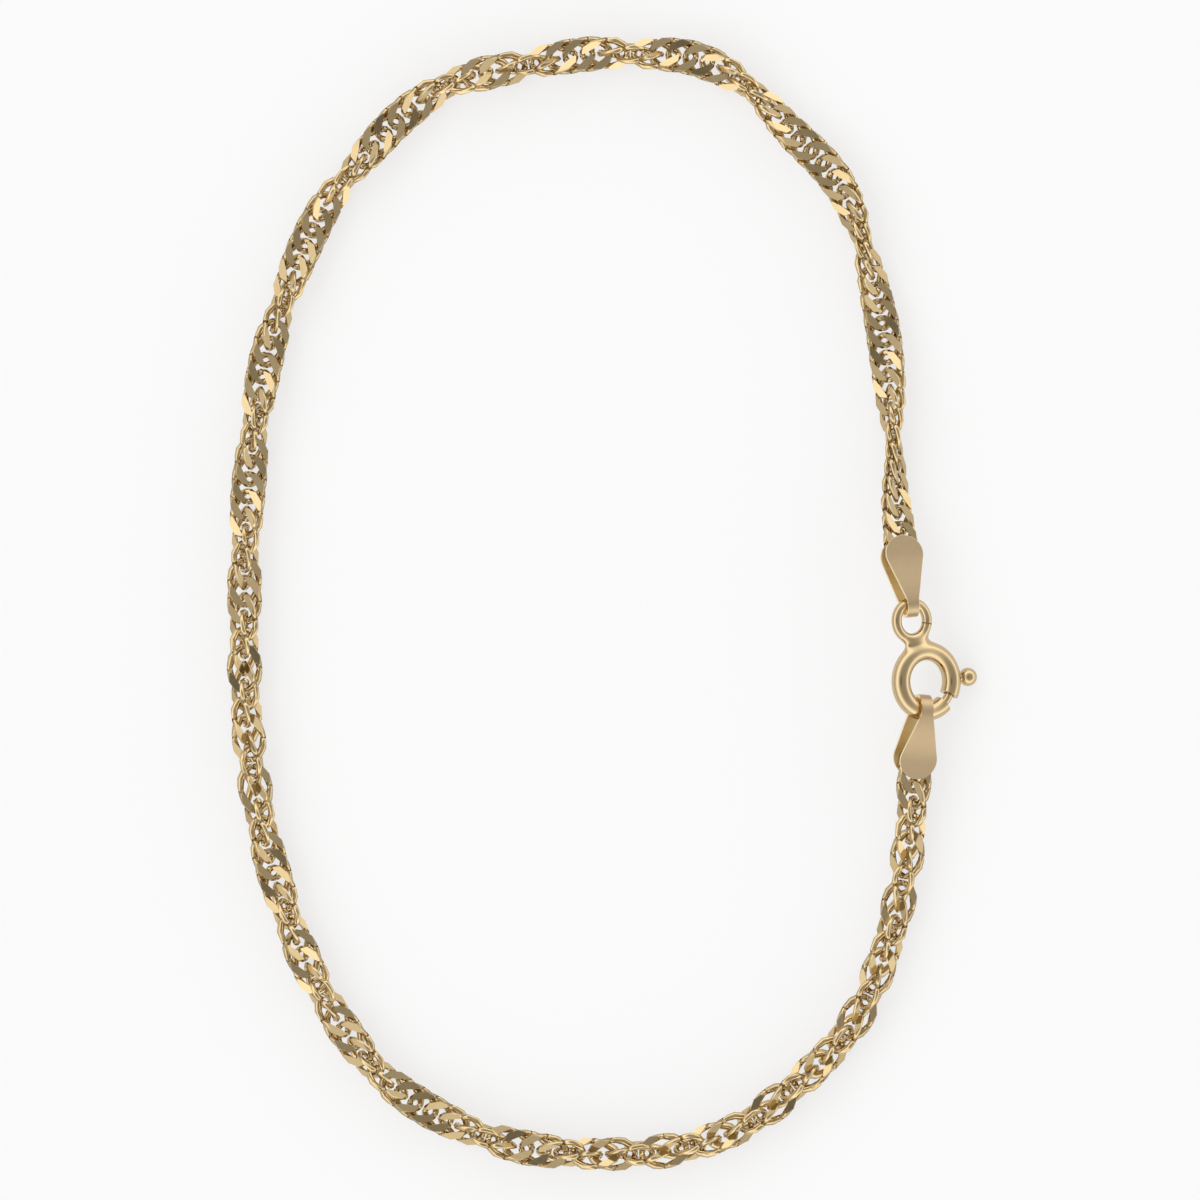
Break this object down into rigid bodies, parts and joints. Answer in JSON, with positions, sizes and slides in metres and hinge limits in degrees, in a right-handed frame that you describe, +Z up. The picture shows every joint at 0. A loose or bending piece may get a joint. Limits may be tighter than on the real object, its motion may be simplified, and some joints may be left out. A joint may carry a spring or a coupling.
{
  "type": "singapore chain anklet",
  "caption": "Closed loop of twisted double curb chain, whose folded end tags hang on a leaned bolt ring clasp with a sprung sliding bolt.",
  "frame": {"origin": "middle of the lying loop's outline, on the surface that it lies on", "axes": "+Z up from the surface, +Y along the loop's longer way, with the clasp on the +X side"},
  "size_m": [0.0653, 0.0987, 0.0053],
  "materials": {
    "chain_gold": "polished 9 ct yellow gold",
    "clasp_gold": "polished 9 ct yellow gold"
  },
  "bodies": {
    "chain_and_ring": {"chain_upper_half": "chain_gold", "chain_lower_half": "chain_gold", "upper_tag": "clasp_gold", "lower_tag": "clasp_gold", "clasp_ring": "clasp_gold"},
    "bolt": {"clasp_bolt": "clasp_gold"}
  },
  "joints": [
    {"name": "trigger", "type": "hinge", "parent": "chain_and_ring", "child": "bolt", "pos_m": [0.0281, -0.00688, 0.00306], "axis": [0.5225, 0, 0.8526], "range_deg": [0, 32], "stiffness_Nm_per_rad": 0.0045, "springref_deg": -9.74}
  ]
}
